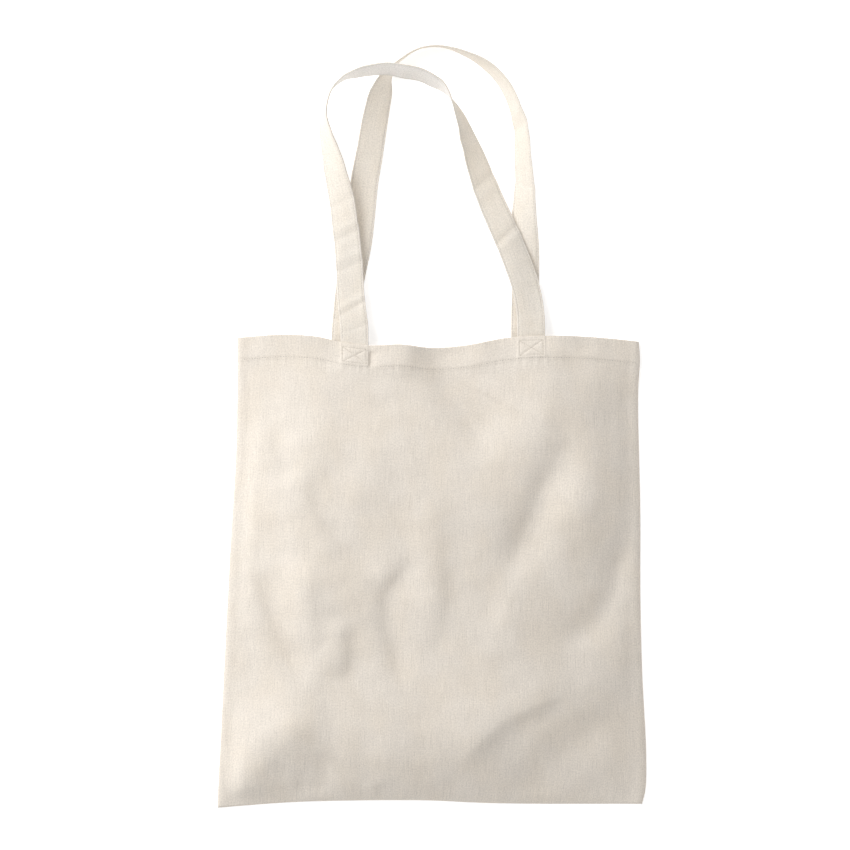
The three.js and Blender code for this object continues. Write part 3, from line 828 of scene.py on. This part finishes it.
def strapSection():
    # places across the strap's width and how thick it is there, once round
    half = strapMake["width"] / 2
    thick = strapMake["thickness"] / 2
    across = np.array([12.2, 11.9, 11.5, 11.1, 10.8, 10.5, 10.1, 9.2, 7.5, 5, 2.5])
    across = np.concatenate([across, [0], -across[::-1]]) * half / 12.5
    inset = half - np.abs(across)
    height = thick * np.sqrt(1 - np.clip(1 - inset / 1.1, 0, 1) ** 2 * 0.75)
    groove = 0.3 * np.exp(-(((np.abs(across) - 10.8) / 0.4) ** 2))
    puff = 0.10 * np.exp(-(((np.abs(across) - 9.2) / 1.2) ** 2))
    height = height - groove + puff
    # folded edge on the outer side, two open layers on the inner one
    innerEdge = [(half, 0.42), (half - 0.1, 0.2), (half - 0.7, 0.0), (half - 0.1, -0.2), (half, -0.42)]
    outerEdge = [(-half, -0.3), (-half - 0.05, 0.0), (-half, 0.3)]
    top = list(zip(across, height))
    bottom = [(a, -h) for a, h in zip(across[::-1], height[::-1])]
    return np.array(top + outerEdge[::-1] + bottom + innerEdge[::-1])


def creaseAt(walk, across, creases, seed):
    # small bends out of the strap's plane, and a gentle roll of its edges
    total = np.zeros(np.broadcast(walk, across).shape)
    for spot, slant, depth, width in creases:
        away = walk - spot - slant * across / strapMake["width"]
        total = total + depth * np.exp(-np.abs(away / width) ** 1.6)
    total = total + 0.22 * softWaves(walk, across, seed, 18, 80)
    return total


def panelUnder(x, y, height, drop):
    across, up = planAt(x, y)
    return height(across, up) - drop


def makeHandle(side, route, footHeight, footDrop, creases, seed):
    name = side + "Handle"
    footY = strapMake["footY"]
    centre, toInner, face, walk = strapFrame(route)
    section = strapSection()
    across, thick = section[:, 0], section[:, 1]
    crease = creaseAt(walk[:, None], across[None, :], creases, seed)
    mid = centre[:, None, :] + toInner[:, None, :] * across[None, :, None]
    # ends lie flat against the panel they are sewn to
    onPanel = panelUnder(mid[..., 0], mid[..., 1], footHeight, footDrop)
    free = ease(mid[..., 1], footY - 1, footY + 24)
    mid[..., 2] = onPanel * (1 - free) + mid[..., 2] * free
    crease = crease * ease(mid[..., 1], footY, footY + 18)
    points = mid + face[:, None, :] * (crease + thick[None, :])[..., None]
    # closed round and at both ends
    rows, columns = points.shape[:2]
    index = np.arange(rows * columns).reshape(rows, columns)
    after = np.roll(index, -1, axis=1)
    faces = np.stack([index[:-1], after[:-1], after[1:], index[1:]], -1).reshape(-1, 4)
    around = np.concatenate([[0], np.cumsum(np.linalg.norm(np.diff(section, axis=0), axis=1))])
    aroundNext = np.append(around[1:], around[-1] + 0.2)
    low, high = walk[:-1, None], walk[1:, None]
    loops = np.stack(
        [
            np.stack(np.broadcast_arrays(around[None, :], low), -1),
            np.stack(np.broadcast_arrays(aroundNext[None, :], low), -1),
            np.stack(np.broadcast_arrays(aroundNext[None, :], high), -1),
            np.stack(np.broadcast_arrays(around[None, :], high), -1),
        ],
        2,
    ).reshape(-1, 4, 2)
    halfTop = (len(across) - 8) // 2  # places on the outer face, and as many on the reverse
    kind = np.zeros((rows - 1, columns))
    kind[:, halfTop + 2 : halfTop + 2 + halfTop] = 1
    caps, capUv = [], []
    for row, flip in ((0, False), (rows - 1, True)):
        for k in range(halfTop - 1):
            opposite = halfTop + 3 + (halfTop - 1 - k)
            quad = [index[row, k], index[row, k + 1], index[row, opposite - 1], index[row, opposite]]
            caps.append(quad[::-1] if not flip else quad)
            capUv.append([(0, 0), (1, 0), (1, 1), (0, 1)])
    faces = np.vstack([faces, caps])
    loops = np.vstack([loops, np.array(capUv, float)])
    kind = np.concatenate([kind.ravel(), np.zeros(len(caps))])
    # the reverse face takes the cloth painted lighter: painted light
    cloths = [strapping, strappingReverseLit]
    piece = newPiece(name, points.reshape(-1, 3), faces, loops, cloths, kind, "strapping")
    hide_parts(side + "_handle", side + "_handle_end_left", side + "_handle_end_right")
    made = [piece]
    steps = np.flatnonzero(centre[:, 1] > footY + 1.5)
    for label, sign in (("outer", -1), ("inner", 1)):
        k = int(np.argmin(np.abs(across[: 2 * halfTop] - sign * strapStitch["fromMiddle"])))
        runs = []
        for way in (1, -1):  # on the outer face and on the reverse
            row = mid[:, k] + face * (crease[:, k] + way * (thick[k] + 0.02))[:, None]
            size = (strapStitch["pitch"], strapStitch["length"], strapStitch["width"])
            runs.append(stitchRun(row[steps], face[steps] * way, *size))
        stitchName = name + label.capitalize() + "Stitch"
        made.append(threadPiece(stitchName, runs, thread, side + "_handle_" + label + "_stitch"))
    for each in made:
        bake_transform(each)
    return piece, walk[-1]


frontHandle, frontLength = makeHandle("front", frontRoute, frontHeight, 2.75, frontCreases, 21)
backHandle, backLength = makeHandle("back", backRoute, backHeight, -2.1, backCreases, 33)
print("handles made, lengths in mm:", round(frontLength), round(backLength))

floorMake = {"reach": 4.0, "under": 0.0004, "tone": 0.93, "grit": 0.02, "glow": 0.5}
table = cadBox[0][2] - floorMake["under"]
edge = floorMake["reach"]
floorMesh = bpy.data.meshes.new("floor")
corners = [(-edge, -edge, table), (edge, -edge, table), (edge, edge, table), (-edge, edge, table)]
floorMesh.from_pydata(corners, [], [(0, 1, 2, 3)])
floor = bpy.data.objects.new("floor", floorMesh)
bpy.context.scene.collection.objects.link(floor)
paper = bpy.data.materials.new("paper")
paper.use_nodes = True
paperTree = paper.node_tree
paperShader = paperTree.nodes["Principled BSDF"]
paperPlace = addNode(paperTree, "ShaderNodeTexCoord").node.outputs["Object"]
grit = noiseAt(paperTree, paperPlace, 0.0009, 0.0009, 3.0)
grit = calc(paperTree, "SUBTRACT", grit, 0.5)
paperTone = calc(paperTree, "MULTIPLY_ADD", grit, floorMake["grit"], floorMake["tone"])
scaled = {"operation": "SCALE"}
paperColour = addNode(paperTree, "ShaderNodeVectorMath", scaled, i0=(1, 1, 1), Scale=paperTone)
paperTree.links.new(paperColour, paperShader.inputs["Base Color"])
paperShader.inputs["Roughness"].default_value = 0.9
paperShader.inputs["Emission Color"].default_value = (1, 1, 1, 1)
paperShader.inputs["Emission Strength"].default_value = floorMake["glow"]
floorMesh.materials.append(paper)
print("floor made")

lightMake = {"place": (-1.25, 0.95, 1.5), "size": 1.7, "power": 38.5, "fill": 0.46}  # metres and watts
key = bpy.data.lights.new("key", "AREA")
key.shape = "DISK"
key.size = lightMake["size"]
key.energy = lightMake["power"]
keyLight = bpy.data.objects.new("key", key)
keyLight.location = lightMake["place"]
bpy.context.scene.collection.objects.link(keyLight)
keyLight.rotation_euler = (-Vector(lightMake["place"])).to_track_quat("-Z", "Y").to_euler()
world = bpy.data.worlds.new("studio")
world.use_nodes = True
# even from above, and nearly white towards the horizon
sky = world.node_tree
towards = addNode(sky, "ShaderNodeSeparateXYZ")
sky.links.new(addNode(sky, "ShaderNodeTexCoord").node.outputs["Generated"], towards.node.inputs[0])
overhead = above(sky, towards.node.outputs["Z"], 0.12, 0.36)
strength = calc(sky, "SUBTRACT", 1.0, calc(sky, "MULTIPLY", overhead, 1.0 - lightMake["fill"]))
sky.nodes["Background"].inputs["Color"].default_value = (1, 1, 1, 1)
sky.links.new(strength, sky.nodes["Background"].inputs["Strength"])
bpy.context.scene.world = world
bpy.context.scene.view_settings.view_transform = "Standard"

# straight above the bag's middle
cameraMake = {"aside": (-0.0063, 0.0024), "height": 2.125, "lens": 100}
middle = (cadBox[0] + cadBox[1]) / 2
camera = bpy.data.cameras.new("camera")
camera.lens = cameraMake["lens"]
cameraObject = bpy.data.objects.new("camera", camera)
cameraObject.location = (*np.array(middle)[:2] + cameraMake["aside"], cameraMake["height"])
bpy.context.scene.collection.objects.link(cameraObject)
bpy.context.scene.camera = cameraObject
print("light and camera placed")
